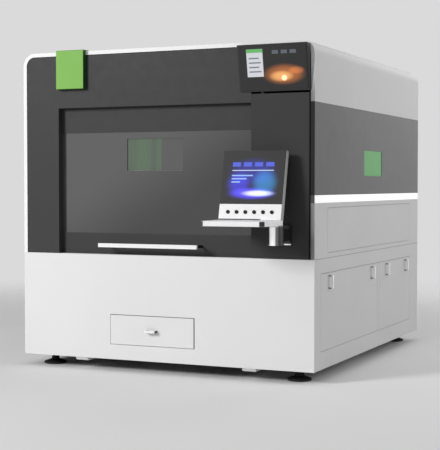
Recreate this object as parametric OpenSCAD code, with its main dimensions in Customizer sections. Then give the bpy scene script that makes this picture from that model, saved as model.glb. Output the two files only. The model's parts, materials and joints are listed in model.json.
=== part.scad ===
// Enclosed flat-bed fiber laser cutting machine.
// Millimetres. X to the right, Y to the rear, Z up from the floor.
// The modules measure Y from the front face of the cabinet, and place() moves the
// origin to the middle of the footprint.

/* [Cabinet] */
// Overall width of the cabinet
cab_w = 2060; // [2040:10:2300]
// Overall depth of the cabinet
cab_d = 2350; // [2330:10:2700]
// Height of the cabinet above its underside
cab_h = 2000; // [1980:5:2200]
// Height of the white lower cabinet
base_h = 680; // [660:5:720]
// Outer radius of the two roof edges
roof_r = 85; // [50:5:90]
// Thickness of the sheet metal skins
sheet_t = 3; // [2:0.5:4]
// Width of the folded edge that frames the front
edge_w = 25; // [18:1:35]
// Gap between neighbouring outer panels
panel_gap = 3; // [1:0.5:5]
// Width of the square frame tube
tube_w = 60; // [50:5:70]
// Depth of the folds behind the front and rear sheets
fold_d = 30; // [20:1:38]

/* [Feet] */
// Height of the cabinet's underside above the floor
foot_h = 75; // [65:5:110]
// Diameter of a foot's pad
foot_d = 150; // [100:5:180]
// Inset of each foot from the cabinet's sides and ends
foot_inset = 148; // [120:2:180]
// Diameter of a foot's stem
stem_d = 40; // [24:2:50]
// Width of a skid rail
skid_w = 90; // [60:5:120]
// Height of a skid rail
skid_h = 22; // [16:1:30]
// Distance of each skid rail from the cabinet's middle
skid_x = 597; // [560:1:640]

/* [Side walls] */
// Height of the light strip's lower edge above the underside
strip_z = 1021; // [1000:1:1060]
// Height of the light strip
strip_h = 47; // [30:1:60]
// Height of the roof shell's sides above the dark band
roof_side = 370; // [340:5:400]
// Length of a side window
side_win_l = 400; // [200:10:600]
// Height of a side window
side_win_h = 170; // [100:5:240]
// Distance of a side window from the front
side_win_y = 981; // [700:1:1300]
// Share of the band's free height that lies under a side window
side_win_rise = 0.314; // [0.1:0.002:0.6]
// How far a pane reaches behind its sheet all round
pane_lap = 15; // [8:1:25]
// Thickness of a window pane
pane_t = 5; // [3:1:8]
// Inset of a side hatch from the front and rear
hatch_inset = 240; // [120:5:300]
// Inset of a side hatch from the panel's upper and lower edges
hatch_edge = 29; // [24:1:60]
// Inset of the front access panel from the front
access_y = 116; // [110:2:160]
// Length of the front access panel
access_front_l = 1176; // [1000:2:1200]
// Distance of the rear access panel from the rear
access_end = 215; // [205:5:400]
// Width of the post between the two access panels
access_post = 53; // [50:1:90]
// Height of the access panels' lower edge above the underside
access_z = 109; // [95:1:140]
// Height of an access panel
access_h = 482; // [400:2:490]
// Width of the ledge behind a flush panel's edge
ledge_w = 12; // [8:1:18]

/* [Handles] */
// Height of an access panel's bow handle
bow_h = 86; // [70:2:120]
// How far a bow handle stands out
bow_reach = 30; // [25:1:45]
// Thickness of a bow handle's bar
bow_bar = 9; // [7:0.5:11]
// Width of a bow handle
bow_w = 16; // [10:1:24]
// Distance of a bow handle from its panel's end
bow_inset = 150; // [60:2:200]
// Distance of a bow handle's upper end below its panel's top
bow_drop = 19; // [12:1:40]

/* [Front] */
// Distance of the door's middle from the cabinet's middle
door_off = -70; // [-90:1:-60]
// Width of the door opening
open_w = 1376; // [1360:2:1400]
// Distance of the door opening's upper edge below the roof's top
lintel_drop = 367; // [360:1:400]
// Depth of the door's face behind the front
recess_d = 45; // [40:1:60]
// Width of the green corner tab
tab_w = 205; // [120:5:240]
// Height of the green corner tab below the roof
tab_h = 246; // [150:2:300]
// Thickness of the green corner tab
tab_t = 35; // [15:1:50]
// Height that the tab's lip stands above the roof
tab_lip = 7; // [4:1:12]
// Distance of the tab's left edge from the cabinet's left side
tab_x = 275; // [150:5:400]
// Width of the upper display
disp_w = 456; // [380:2:460]
// Height of the upper display
disp_h = 281; // [240:1:290]
// Depth of the upper display at its lower edge
disp_low = 12; // [8:1:20]
// Depth of the upper display at its upper edge
disp_high = 64; // [40:1:80]
// Height of the dark gap under the upper display
disp_gap = 12; // [6:1:20]
// Width of the frame round a screen
bezel_w = 8; // [4:1:14]
// Thickness of a screen's glass
screen_t = 4; // [3:0.5:6]

/* [Door] */
// Thickness of the door
door_t = 30; // [24:1:36]
// How far the door reaches behind the fascia at each side
door_lap = 55; // [50:1:60]
// How far the door reaches behind the fascia above
door_top_lap = 20; // [10:1:30]
// Travel of the door
door_lift = 300; // [200:5:310]
// Height of the band under the smoked glass
glass_low = 137; // [110:1:180]
// Height of the band above the smoked glass
glass_high = 163; // [120:1:200]
// Thickness of the smoked glass
glass_t = 6; // [4:1:8]
// Width of the green viewing window
view_w = 400; // [250:5:600]
// Height of the green viewing window
view_h = 202; // [120:2:300]
// Distance of the viewing window below the smoked glass's upper edge
view_drop = 44; // [30:1:120]
// Length of the door's handle bar
bar_l = 700; // [400:10:900]
// Height of the handle bar
bar_h = 25; // [18:1:32]
// Depth of the handle bar
bar_d = 18; // [12:1:24]
// Clear depth behind the handle bar
bar_reach = 100; // [50:2:120]
// Diameter of a handle post
bar_post_d = 18; // [12:1:20]
// Height of the handle bar's middle above the door's lower edge
bar_z = 63; // [40:1:90]
// Room behind the door for its guides
guide_d = 30; // [26:1:36]
// Width of a door guide rail
guide_w = 20; // [14:1:24]

/* [Drawer] */
// Width of the drawer's front
drawer_w = 600; // [500:5:620]
// Height of the drawer's front
drawer_h = 190; // [150:2:210]
// Height of the drawer's lower edge above the underside
drawer_z = 100; // [95:1:130]
// Depth of the drawer's tray
drawer_d = 1100; // [900:10:1200]
// Wall of the drawer's tray
tray_wall = 2; // [1.5:0.5:4]
// Length of the drawer's handle
pull_l = 76; // [60:2:120]
// How far the drawer's handle stands out
pull_reach = 36; // [30:1:45]

/* [Console] */
// Width of the console
con_w = 403; // [380:1:440]
// Distance of the console's right edge from the cabinet's right side
con_x = 148; // [140:1:170]
// Height of the tray's top above the underside
con_z = 920; // [900:1:960]
// Thickness of the tray's edge
con_edge = 30; // [24:1:40]
// How far the tray stands out from the front
con_reach = 450; // [430:1:480]
// Depth of the tray
con_tray_d = 310; // [300:1:330]
// Chamfer of the tray's front corners
con_chamfer = 24; // [10:1:40]
// Length of the tilted screen housing along its slope
slab_l = 428; // [400:1:460]
// Thickness of the screen housing
slab_t = 45; // [38:1:52]
// Backward tilt of the screen housing in degrees
slab_tilt = 12.5; // [8:0.5:14]
// Depth of the tray in front of the screen housing
slab_set = 270; // [250:1:275]
// Length of the white button panel along the slope
keys_l = 98; // [80:1:110]
// Diameter of a push button
key_d = 22; // [16:1:26]
// Spacing of the push buttons
key_pitch = 57; // [46:1:60]
// How far a push button stands out
key_out = 7; // [5:0.5:10]
// Travel of a push button
key_travel = 4; // [2:0.5:4.5]
// Diameter of the console's pivot housing
hub_d = 88; // [76:1:90]
// Height of the pivot housing
hub_h = 110; // [90:1:130]
// Distance of the pivot's axis from the console's right edge
hub_x = 30; // [26:1:44]
// Distance of the pivot's axis in front of the cabinet
hub_y = 170; // [165:1:185]
// Diameter of the pivot pin
pivot_d = 40; // [30:1:50]
// Width of the bracket's wall plate
plate_w = 60; // [50:1:90]
// Height of the bracket's wall plate
plate_h = 120; // [110:1:130]

/* [Cutting axes] */
// Distance of the parked cutting head from the bed beam beside it
head_side = 80; // [75:1:130]
// Travel of the cutting head
stroke_z = 90; // [60:5:95]
// Width of a bed beam
beam_w = 120; // [116:1:124]
// Height of a bed beam
beam_h = 128; // [120:2:140]
// Distance of the left bed beam from the cabinet's left side
bed_room = 110; // [100:1:114]
// Width of a linear rail
rail_w = 23; // [20:1:25]
// Height of a linear rail
rail_h = 22; // [18:1:25]
// Depth of the gantry beam
gantry_d = 160; // [120:5:180]
// Height of the gantry beam
gantry_h = 180; // [170:5:200]
// Wall of the gantry beam
gantry_wall = 10; // [6:1:16]
// Length of a gantry truck along its rail
truck_l = 320; // [280:10:360]
// Width of the carriage
carriage_w = 200; // [160:5:220]

/* [Work table] */
// Distance of the table from the front
table_y = 230; // [225:1:260]
// Room behind the table for the parked gantry
rear_room = 740; // [720:10:780]
// Height of the table's rim
table_h = 80; // [70:1:90]
// Width of the table's rim
table_rim = 40; // [30:1:46]
// Number of slats
slat_n = 16; // [8:1:20]
// Thickness of a slat
slat_t = 4; // [2:0.5:6]
// Height of a slat to its tips
slat_h = 62; // [50:1:70]
// Depth of a slat's teeth
tooth_h = 20; // [10:1:24]
// Number of teeth on a slat
tooth_n = 30; // [12:1:36]

/* [Inner boxes] */
// Distance of the base frame's front cross tube from the front
cross_front = 700; // [660:10:740]
// Distance of the base frame's middle cross tube from the front
cross_middle = 1300; // [1260:10:1400]
// Distance of the base frame's rear cross tube from the rear
cross_rear = 350; // [250:10:450]
// Width of the laser source
laser_w = 450; // [400:5:480]
// Height of the laser source
laser_h = 200; // [150:5:220]
// Width of the control cabinet
control_w = 302; // [240:2:310]
// Height of the control cabinet
control_h = 420; // [350:5:430]

/* [Rear] */
// Outer diameter of the exhaust spigot
duct_d = 200; // [150:5:250]
// Wall of the exhaust spigot
duct_wall = 2; // [1.5:0.5:4]
// Length of the exhaust spigot
duct_l = 100; // [60:5:140]
// Height of the exhaust spigot's axis above the underside
duct_z = 400; // [300:5:420]
// Number of vent slots in a group
vent_n = 9; // [5:1:10]
// Length of a vent slot
vent_l = 180; // [100:5:190]
// Width of a vent slot
vent_w = 10; // [6:0.5:12]
// Height from one vent slot to the next
vent_rise = 24; // [18:1:28]
// Distance between two columns of vent slots
vent_space = 100; // [40:5:120]
// Height of the lowest vent slot above the underside
vent_z = 150; // [100:5:200]

/* [Hidden] */
$fn = 64;

// Clearances
run_gap = 0.3;
pin_gap = 0.05;
eps = 1;

// Levels
z0 = foot_h;
z_base = z0 + base_h;
z_top = z0 + cab_h;
z_strip = z0 + strip_z;
z_band = z_strip + strip_h;
z_roof = z_top - roof_side;
z_lintel = z_top - lintel_drop;

// Planes of the cabinet
half_w = cab_w / 2;
skin_x = half_w - sheet_t;
frame_y1 = cab_d - fold_d;
frame_top = z_base - sheet_t;
post_y = recess_d + door_t + guide_d;
face_x = half_w - edge_w - panel_gap;
ring_gap = 5;
ring_z = z_top - roof_r - tube_w - ring_gap;
front_sill = 210;
rear_sill = 220;
sill_gap = 0.5;
foot_x = half_w - foot_inset;
foot_ends = [foot_inset, cab_d - foot_inset];
foot_plate_t = 12;
floor_z = z0 + tube_w;
cross_rear_y = cab_d - cross_rear;

// Door
open_x0 = door_off - open_w / 2;
open_x1 = door_off + open_w / 2;
door_x0 = open_x0 - door_lap;
door_x1 = open_x1 + door_lap;
door_z0 = frame_top + run_gap;
door_z1 = z_lintel + door_top_lap;
door_back = recess_d + door_t;
glass_lap = 6;
glass_z0 = z_base + glass_low;
glass_z1 = z_lintel - glass_high;
glass_x = open_w / 2 + glass_lap;
view_z1 = glass_z1 - view_drop;
jamb_gap = 5;
jamb_d = recess_d - jamb_gap;

// Door guides
guide_shift = 7;
guide_x = open_w / 2 + door_lap / 2 + guide_shift;
guide_h = 15;
guide_end = 8;
guide_gap = 3;
guide_block = 70;
guide_block_in = 80;
guide_block_zs = [door_z0 + guide_block_in, door_z1 - guide_block_in - guide_block];
guide_top = guide_block_zs[1] + guide_block + door_lift + guide_end;

// Upper display
disp_rise = 3;
disp_side = 1;
disp_z0 = z_top - edge_w - disp_h + disp_rise;
disp_x1 = face_x + disp_side;
column_top = disp_z0 - disp_gap;

// Drawer
drawer_x0 = door_off - drawer_w / 2;
drawer_x1 = door_off + drawer_w / 2;
drawer_z0 = z0 + drawer_z;
front_t = 20;
tray_in = 20;
tray_low = 6;
tray_high = 8;
tray_h = drawer_h - tray_low - tray_high;
tray_z0 = drawer_z0 + tray_low;
angle_t = 3;
angle_w = 25;
angle_h = 60;

// Console
con_x1 = half_w - con_x;
con_x0 = con_x1 - con_w;
con_top = z0 + con_z;
con_y0 = -con_reach;
slab_y = con_y0 + slab_set;
slab_back = slab_y + slab_t / cos(slab_tilt);
axis_x = con_x1 - hub_x;
axis_y = -hub_y;
flange_t = 8;
hub_top = con_top - con_edge - flange_t - run_gap;
hub_z0 = hub_top - hub_h;
hub_floor = 10;
pin_end = 2;
key_count = 6;
key_x0 = con_x0 + con_w / 2 - (key_count - 1) / 2 * key_pitch;
key_depth = 12;
key_spare = 2;
key_pocket = key_depth + key_travel + key_spare;
key_round = 1.5;
key_hole_d = key_d + 2 * run_gap;

// Side windows
win_z0 = z_band + side_win_rise * (z_roof - z_band - side_win_h);
win_z1 = win_z0 + side_win_h;

// Work table between the bed beams
beam_x = half_w + door_off - beam_w / 2 - bed_room;
work_x0 = door_off - beam_x + beam_w / 2;
work_x1 = door_off + beam_x - beam_w / 2;
table_lift = 8;
table_z0 = frame_top + table_lift;
table_y1 = cab_d - rear_room;
table_l = table_y1 - table_y;
ledge_t = 20;
ledge_in = 20;
slat_z0 = table_z0 + ledge_t;
slat_tip = slat_z0 + slat_h;
slat_pitch = (table_l - 2 * table_rim) / slat_n;

// Slag hopper, from the table's underside down to the drawer
hop_rim = 3;
hop_wall = 2;
hop_in = 40;
hop_edge = 10;
hop_gap = 8;
hop_end = 60;
hop_z0 = drawer_z0 + drawer_h + hop_gap;
hop_z1 = table_z0 - hop_rim;
hop_x0 = drawer_x0 + 2 * tray_in;
hop_x1 = drawer_x1 - 2 * tray_in;
hop_y0 = table_y + hop_in + hop_end;
hop_y1 = fold_d + front_t + drawer_d - hop_end;

// Bed, rails and linear motors
bed_gap = 5;
bed_end = 120;
bed_z1 = frame_top + beam_h;
bed_y0 = post_y + tube_w + bed_gap;
bed_y1 = frame_y1 - bed_end;
rail_dx = -30;
rail_end = 10;
block_foot = 5;
block_rise = 14;
block_w = 56;
magnet_dx = 24;
magnet_w = 48;
magnet_base = 6;
magnet_t = 6;
magnet_l = 30;
magnet_edge = 4;
magnet_pitch = 40;
coil_z0 = magnet_base + magnet_t + eps;

// Gantry parked at the rear and carriage parked at the left
truck_t = 20;
block_top = bed_z1 + rail_h + block_rise;
truck_z1 = block_top + truck_t;
stroke_x = work_x1 - work_x0 - 2 * head_side;
stroke_y = table_l - 2 * table_rim;
head_x = door_off - stroke_x / 2;
head_y = table_y + table_rim + stroke_y;
head_gap = 34;
rail_gap = 34;
plate_t = 16;
z_axis_d = 46;
z_axis_l = 340;
z_axis_y0 = head_y + head_gap + run_gap;
carriage_y0 = z_axis_y0 + z_axis_d;
carriage_y1 = carriage_y0 + plate_t;
gantry_y0 = carriage_y1 + rail_gap;
gantry_y1 = gantry_y0 + gantry_d;
gantry_mid = (gantry_y0 + gantry_y1) / 2;
gantry_x0 = door_off - beam_x - beam_w / 2;
gantry_x1 = door_off + beam_x + beam_w / 2;
gantry_z1 = truck_z1 + gantry_h;
x_rail_edge = 32;
x_rail_end = 20;
x_rail_zs = [truck_z1 + x_rail_edge, gantry_z1 - x_rail_edge];
x_block_w = 44;
plate_edge = 26;
z_axis_z0 = x_rail_zs[0] - plate_edge;
z_axis_z1 = z_axis_z0 + z_axis_l;
tip_gap = 10;
tip_z = slat_tip + stroke_z + tip_gap;
nozzle_h = 26;

// Boxes that stand on the base frame's cross tubes
laser_gap = 37;
control_gap = 5;
laser_x1 = skin_x - tube_w - laser_gap;
laser_x0 = laser_x1 - laser_w;
control_x0 = control_gap - skin_x + tube_w;
control_door_t = 12;
control_edge = 10;
box_lap = 20;

// Origin: the middle of the footprint, from the tray's front to the spigot's end
mid_y = (con_y0 + cab_d + duct_l) / 2;

module place() translate([0, -mid_y, 0]) children();

// A box between two corners
module block(x0, x1, y0, y1, z0, z1) translate([x0, y0, z0]) cube([x1 - x0, y1 - y0, z1 - z0]);

// A profile in Y and Z, extruded along X
module along_x(x0, x1) translate([x0, 0, 0]) rotate([90, 0, 90]) linear_extrude(x1 - x0) children();

// A profile in X and Z, extruded along Y
module along_y(y0, y1) translate([0, y1, 0]) rotate([90, 0, 0]) linear_extrude(y1 - y0) children();

// A child and its mirror image on the other side of the cabinet
module both_sides() {
  children();
  mirror([1, 0, 0]) children();
}

// A rectangle in X and Z whose two upper corners are round
module arch(half, low, high, r) {
  translate([-half, low]) square([2 * half, high - r - low]);
  translate([r - half, low]) square([2 * (half - r), high - low]);
  for (s = [-1, 1]) translate([s * (half - r), high - r]) circle(r);
}

// Steel frame of the lower cabinet: two rings of tube, corner posts, sills and foot plates
module base_frame() color("dimgray") {
  ring_zs = [[z0, z0 + tube_w], [frame_top - tube_w, frame_top]];
  for (r = ring_zs) {
    both_sides() block(skin_x - tube_w, skin_x, fold_d, frame_y1, r[0], r[1]);
    block(-skin_x, skin_x, fold_d, fold_d + tube_w, r[0], r[1]);
    block(-skin_x, skin_x, frame_y1 - tube_w, frame_y1, r[0], r[1]);
  }
  for (y = [fold_d, frame_y1 - tube_w])
    both_sides() block(skin_x - tube_w, skin_x, y, y + tube_w, z0, frame_top);
  for (y = [cross_front, cross_middle, cross_rear_y]) block(-skin_x, skin_x, y, y + tube_w, z0, floor_z);
  block(-skin_x, skin_x, fold_d, fold_d + front_sill, frame_top - tube_w, frame_top);
  block(-skin_x, skin_x, frame_y1 - rear_sill, frame_y1, frame_top - tube_w, frame_top);
  both_sides() for (y = foot_ends)
    block(foot_x - stem_d, skin_x, max(fold_d, y - foot_inset), min(frame_y1, y + foot_inset),
          z0, z0 + foot_plate_t);
}

// Steel frame of the upper cabinet: corner posts, door posts and the upper ring
module upper_frame() color("dimgray") {
  for (y = [post_y, frame_y1 - tube_w])
    both_sides() block(skin_x - tube_w, skin_x, y, y + tube_w, frame_top, ring_z + tube_w);
  for (s = [-1, 1])
    translate([door_off + s * guide_x - tube_w / 2, post_y, frame_top])
      cube([tube_w, tube_w, ring_z + tube_w - frame_top]);
  both_sides() block(skin_x - tube_w, skin_x, post_y, frame_y1, ring_z, ring_z + tube_w);
  for (y = [post_y, frame_y1 - tube_w])
    block(-skin_x, skin_x, y, y + tube_w, ring_z, ring_z + tube_w);
}

// Two flat bars under the base, with a chamfer under each end
module skid_rails() color("gainsboro") {
  chamfer = skid_h / 2;
  y0 = fold_d / 2;
  y1 = cab_d - fold_d / 2;
  both_sides() along_x(skid_x - skid_w / 2, skid_x + skid_w / 2) polygon([
    [y0, z0], [y0, z0 - chamfer], [y0 + chamfer, z0 - skid_h],
    [y1 - chamfer, z0 - skid_h], [y1, z0 - chamfer], [y1, z0]
  ]);
}

// One foot: pad, lock nut and stem
module foot() {
  pad_t = 14;
  pad_bevel = 3;
  cone_t = 16;
  nut_t = 16;
  nut_rim = 9;
  rotate_extrude() polygon([
    [0, 0], [foot_d / 2 - pad_bevel, 0], [foot_d / 2, pad_bevel], [foot_d / 2, pad_t],
    [stem_d / 2 + nut_rim, pad_t + cone_t], [0, pad_t + cone_t]
  ]);
  translate([0, 0, pad_t + cone_t]) cylinder(h = nut_t, r = stem_d / 2 + nut_rim, $fn = 6);
  translate([0, 0, pad_t + cone_t]) cylinder(h = foot_h - pad_t - cone_t, d = stem_d);
}

module levelling_feet() color("black")
  both_sides() for (y = foot_ends) translate([foot_x, y, 0]) foot();

// White front sheet of the lower cabinet, folded back all round, with the drawer's opening
module lower_front_panel() color("white") difference() {
  union() {
    block(-half_w, half_w, 0, sheet_t, z0, z_base);
    block(-skin_x, skin_x, 0, recess_d - sill_gap, frame_top, z_base);
    block(-skin_x, skin_x, 0, fold_d, z0, z0 + sheet_t);
    both_sides() block(skin_x - sheet_t, skin_x, 0, fold_d, z0, z_base);
    block(drawer_x0 - panel_gap - sheet_t, drawer_x1 + panel_gap + sheet_t, 0, front_t,
          drawer_z0 - panel_gap - sheet_t, drawer_z0 + drawer_h + panel_gap + sheet_t);
  }
  block(drawer_x0 - panel_gap, drawer_x1 + panel_gap, -eps, front_t + eps,
        drawer_z0 - panel_gap, drawer_z0 + drawer_h + panel_gap);
}

// A flush opening in a side sheet with a ledge behind its edge
module ledge_ring(y0, y1, z0, z1) difference() {
  block(skin_x - sheet_t, skin_x, y0 - ledge_w, y1 + ledge_w, z0 - ledge_w, z1 + ledge_w);
  block(skin_x - sheet_t - eps, skin_x + eps, y0 + ledge_w, y1 - ledge_w, z0 + ledge_w, z1 - ledge_w);
}

// Start and length of the two access panels
access_rear_y = access_y + access_front_l + access_post;
access_spans = [
  [access_y, access_front_l],
  [access_rear_y, cab_d - access_end - access_rear_y]
];
access_z0 = z0 + access_z;
access_z1 = access_z0 + access_h;

module lower_side_panels() color("lightgray") both_sides() {
  difference() {
    block(skin_x, half_w, sheet_t, cab_d - sheet_t, z0, z_base);
    for (a = access_spans)
      block(skin_x - eps, half_w + eps, a[0], a[0] + a[1], access_z0, access_z1);
  }
  for (a = access_spans) ledge_ring(a[0], a[0] + a[1], access_z0, access_z1);
}

// Two lift-off panels for one side
module access_panels() for (a = access_spans)
  block(skin_x, half_w, a[0] + panel_gap, a[0] + a[1] - panel_gap,
        access_z0 + panel_gap, access_z1 - panel_gap);

module access_panels_right() color("lightgray") access_panels();
module access_panels_left() color("lightgray") mirror([1, 0, 0]) access_panels();

// Outline of a bow handle: a bar on two feet, with round outer corners
module bow_outline(l, reach, bar) difference() {
  union() {
    square([reach - bar, l]);
    translate([0, bar]) square([reach, l - 2 * bar]);
    for (y = [bar, l - bar]) translate([reach - bar, y]) circle(bar);
  }
  translate([-eps, bar]) square([reach - bar + eps, l - 2 * bar]);
}

module access_handles() color("silver") both_sides() for (a = access_spans)
  for (y = [a[0] + bow_inset, a[0] + a[1] - bow_inset])
    translate([half_w, 0, access_z1 - bow_drop - bow_h])
      along_y(y - bow_w / 2, y + bow_w / 2) bow_outline(bow_h, bow_reach, bow_bar);

// A column of vent slots with round ends
module vent_slots(x) for (i = [0 : vent_n - 1])
  translate([x, 0, z0 + vent_z + i * vent_rise]) along_y(cab_d - sheet_t - eps, cab_d + eps) {
    square([vent_l, vent_w]);
    for (e = [0, vent_l]) translate([e, vent_w / 2]) circle(d = vent_w);
  }

// Left ends of the columns of vent slots, two on each side of the exhaust
vent_pitch = vent_l + vent_space;
vent_xs = [vent_l - half_w, vent_l - half_w + vent_pitch,
           half_w - 2 * vent_l - vent_pitch, half_w - 2 * vent_l];

// Rear sheet of the lower cabinet with vents and the exhaust's hole
module rear_lower_panel() color("lightgray") difference() {
  union() {
    block(-half_w, half_w, cab_d - sheet_t, cab_d, z0, z_base);
    block(-skin_x, skin_x, frame_y1, cab_d, z0, z0 + sheet_t);
    block(-skin_x, skin_x, frame_y1, cab_d, frame_top, z_base);
    both_sides() block(skin_x - sheet_t, skin_x, frame_y1, cab_d, z0, z_base);
  }
  translate([door_off, 0, z0 + duct_z]) along_y(cab_d - sheet_t - eps, cab_d + eps) circle(d = duct_d);
  for (x = vent_xs) vent_slots(x);
}

// White roof and upper sides, folded in at both ends, with the trim down the left front edge
module roof_shell() color("white") {
  difference() {
    along_y(0, cab_d) arch(half_w, z_roof, z_top, roof_r);
    along_y(sheet_t, cab_d - sheet_t) arch(skin_x, z_roof - eps, z_top - sheet_t, roof_r - sheet_t);
    along_y(-eps, cab_d + eps) arch(half_w - edge_w, z_roof - eps, z_top - edge_w, roof_r - edge_w);
  }
  block(-half_w, edge_w - half_w, 0, sheet_t, z_base, z_roof);
  block(-half_w, -skin_x, 0, edge_w, z_base, z_roof);
}

// One strip of the right wall, folded in at the rear and, on the right, at the front
module wall_strip(low, high, front) {
  start = front ? 0 : edge_w;
  block(skin_x, half_w, start, cab_d, low, high);
  block(half_w - edge_w, half_w, cab_d - sheet_t, cab_d, low, high);
  if (front) block(half_w - edge_w, half_w, 0, sheet_t, low, high);
}

// Dark band of one wall with the opening for its window
module side_band(front) difference() {
  wall_strip(z_band, z_roof, front);
  block(skin_x - eps, half_w + eps, side_win_y, side_win_y + side_win_l,
        win_z0, win_z1);
}

module side_band_right() color("gray") side_band(true);
module side_band_left() color("gray") mirror([1, 0, 0]) side_band(false);

// Green laser-safety panes behind the bands
module side_windows() color("mediumseagreen") both_sides()
  block(skin_x - pane_t, skin_x, side_win_y - pane_lap, side_win_y + side_win_l + pane_lap,
        win_z0 - pane_lap, win_z1 + pane_lap);

module light_strips() color("white") {
  wall_strip(z_strip, z_band, true);
  mirror([1, 0, 0]) wall_strip(z_strip, z_band, false);
}

// Light grey wall between the light strip and the lower cabinet, with the hatch's opening
hatch_y1 = cab_d - hatch_inset;
hatch_z0 = z_base + hatch_edge;
hatch_z1 = z_strip - hatch_edge;

module mid_panel(front) {
  difference() {
    wall_strip(z_base, z_strip, front);
    block(skin_x - eps, half_w + eps, hatch_inset, hatch_y1, hatch_z0, hatch_z1);
  }
  ledge_ring(hatch_inset, hatch_y1, hatch_z0, hatch_z1);
}

module mid_panels() color("lightgray") {
  mid_panel(true);
  mirror([1, 0, 0]) mid_panel(false);
}

module side_hatches() color("lightgray") both_sides()
  block(skin_x, half_w, hatch_inset + panel_gap, hatch_y1 - panel_gap,
        hatch_z0 + panel_gap, hatch_z1 - panel_gap);

// Rear sheet of the upper cabinet, with a fold against each rear post
module rear_upper_panel() color("lightgray") {
  fold_x = skin_x - tube_w / 2;
  along_y(cab_d - sheet_t, cab_d)
    arch(face_x, z_base + panel_gap, z_top - edge_w - panel_gap, roof_r - edge_w);
  both_sides() block(fold_x - sheet_t, fold_x, frame_y1, cab_d - sheet_t, z_base + panel_gap, ring_z);
}

// Round spigot for the fume duct, with its flange on the rear sheet and a bead near its end
module exhaust_spigot() color("silver") translate([door_off, cab_d, z0 + duct_z]) rotate([-90, 0, 0]) {
  flange_w = 30;
  flange_h = 4;
  bead_d = 6;
  bead_sink = 1;
  difference() {
    union() {
      cylinder(h = duct_l, d = duct_d);
      cylinder(h = flange_h, d = duct_d + 2 * flange_w);
      translate([0, 0, duct_l - 2 * bead_d])
        rotate_extrude() translate([duct_d / 2 - bead_sink, 0]) circle(d = bead_d);
    }
    translate([0, 0, -eps]) cylinder(h = duct_l + 2 * eps, d = duct_d - 2 * duct_wall);
  }
}

// Dark front sheet: left column and upper band, with folds round the door opening
module front_fascia() color([0.3, 0.3, 0.31]) {
  low = z_base + panel_gap;
  difference() {
    along_y(0, sheet_t) arch(face_x, low, z_top - edge_w - panel_gap, roof_r - edge_w);
    block(open_x0, open_x1 + eps, -eps, sheet_t + eps, low - eps, z_lintel);
    block(open_x1, face_x + eps, -eps, sheet_t + eps, low - eps, disp_z0);
  }
  block(open_x0 - sheet_t, open_x0, 0, jamb_d, low, z_lintel + sheet_t);
  block(open_x0 - sheet_t, open_x1, 0, jamb_d, z_lintel, z_lintel + sheet_t);
  block(-face_x, sheet_t - face_x, 0, post_y, low, ring_z);
  block(face_x - sheet_t, face_x, 0, post_y, disp_z0, ring_z + tube_w);
}

// Dark panel beside the door that carries the console
module right_column() color([0.29, 0.29, 0.3]) {
  low = z_base + panel_gap;
  block(open_x1, face_x, 0, sheet_t, low, column_top);
  block(open_x1, open_x1 + sheet_t, 0, jamb_d, low, column_top);
  block(face_x - sheet_t, face_x, 0, post_y, low, column_top);
  block(open_x1, face_x, 0, jamb_d, column_top - sheet_t, column_top);
}

// Green tab that hooks over the roof's front edge
module corner_tab() color([0.42, 0.7, 0.25]) along_x(tab_x - half_w, tab_x - half_w + tab_w) {
  bevel = 4;
  hook = 60;
  polygon([
    [0, z_top - tab_h], [bevel - tab_t, z_top - tab_h], [-tab_t, z_top - tab_h + bevel],
    [-tab_t, z_top + tab_lip - bevel], [bevel - tab_t, z_top + tab_lip],
    [hook, z_top + tab_lip], [hook, z_top], [0, z_top]
  ]);
}

// Wedge-shaped housing of the upper display, leaning out at the top
module display_housing() color([0.25, 0.25, 0.26]) along_x(disp_x1 - disp_w, disp_x1)
  polygon([
    [0, disp_z0], [screen_t - disp_low, disp_z0],
    [screen_t - disp_high, disp_z0 + disp_h], [0, disp_z0 + disp_h]
  ]);

// Screen of the upper display, on the wedge's sloping face
module display_screen() color([0.2, 0.2, 0.21])
  along_x(disp_x1 - disp_w + bezel_w, disp_x1 - bezel_w) {
    fall = (disp_high - disp_low) / disp_h;
    low_y = screen_t - disp_low - fall * bezel_w;
    high_y = screen_t - disp_high + fall * bezel_w;
    polygon([
      [low_y, disp_z0 + bezel_w], [low_y - screen_t, disp_z0 + bezel_w],
      [high_y - screen_t, disp_z0 + disp_h - bezel_w], [high_y, disp_z0 + disp_h - bezel_w]
    ]);
  }

// Two vertical rails on the door posts, long enough for the raised door
module door_rails() color("silver") for (s = [-1, 1])
  block(door_off + s * guide_x - guide_w / 2, door_off + s * guide_x + guide_w / 2,
        post_y - guide_h, post_y, frame_top + guide_end, guide_top);

// Two angle runners for the drawer, standing on the base frame
module drawer_rails() color("silver") for (s = [-1, 1])
  translate([door_off, 0, 0]) mirror([s > 0 ? 0 : 1, 0, 0]) {
    outer = drawer_w / 2 - tray_in + run_gap;
    block(outer, outer + angle_t, fold_d, cross_middle + tube_w, floor_z, tray_z0 + angle_h);
    block(outer + angle_t - angle_w, outer + angle_t, fold_d, cross_middle + tube_w,
          tray_z0 - angle_t - run_gap, tray_z0 - run_gap);
  }

// Wall bracket of the console: plate, arm and bored pivot housing with a collar at its foot
module console_bracket() color("silver") {
  wall_t = 12;
  wall_low = hub_z0 - (plate_h - hub_h) / 2;
  arm_w = 32;
  arm_in = 20;
  collar_h = 6;
  collar_w = 3;
  difference() {
    union() {
      block(axis_x - plate_w / 2, axis_x + plate_w / 2, -wall_t, 0, wall_low, wall_low + plate_h);
      block(axis_x - arm_w / 2, axis_x + arm_w / 2, axis_y, 0, hub_z0 + arm_in, hub_top - arm_in);
      translate([axis_x, axis_y, hub_z0]) cylinder(h = hub_h, d = hub_d);
      translate([axis_x, axis_y, hub_z0]) cylinder(h = collar_h, d = hub_d + 2 * collar_w);
    }
    translate([axis_x, axis_y, hub_z0 + hub_floor]) cylinder(h = hub_h, d = pivot_d);
  }
}

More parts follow.
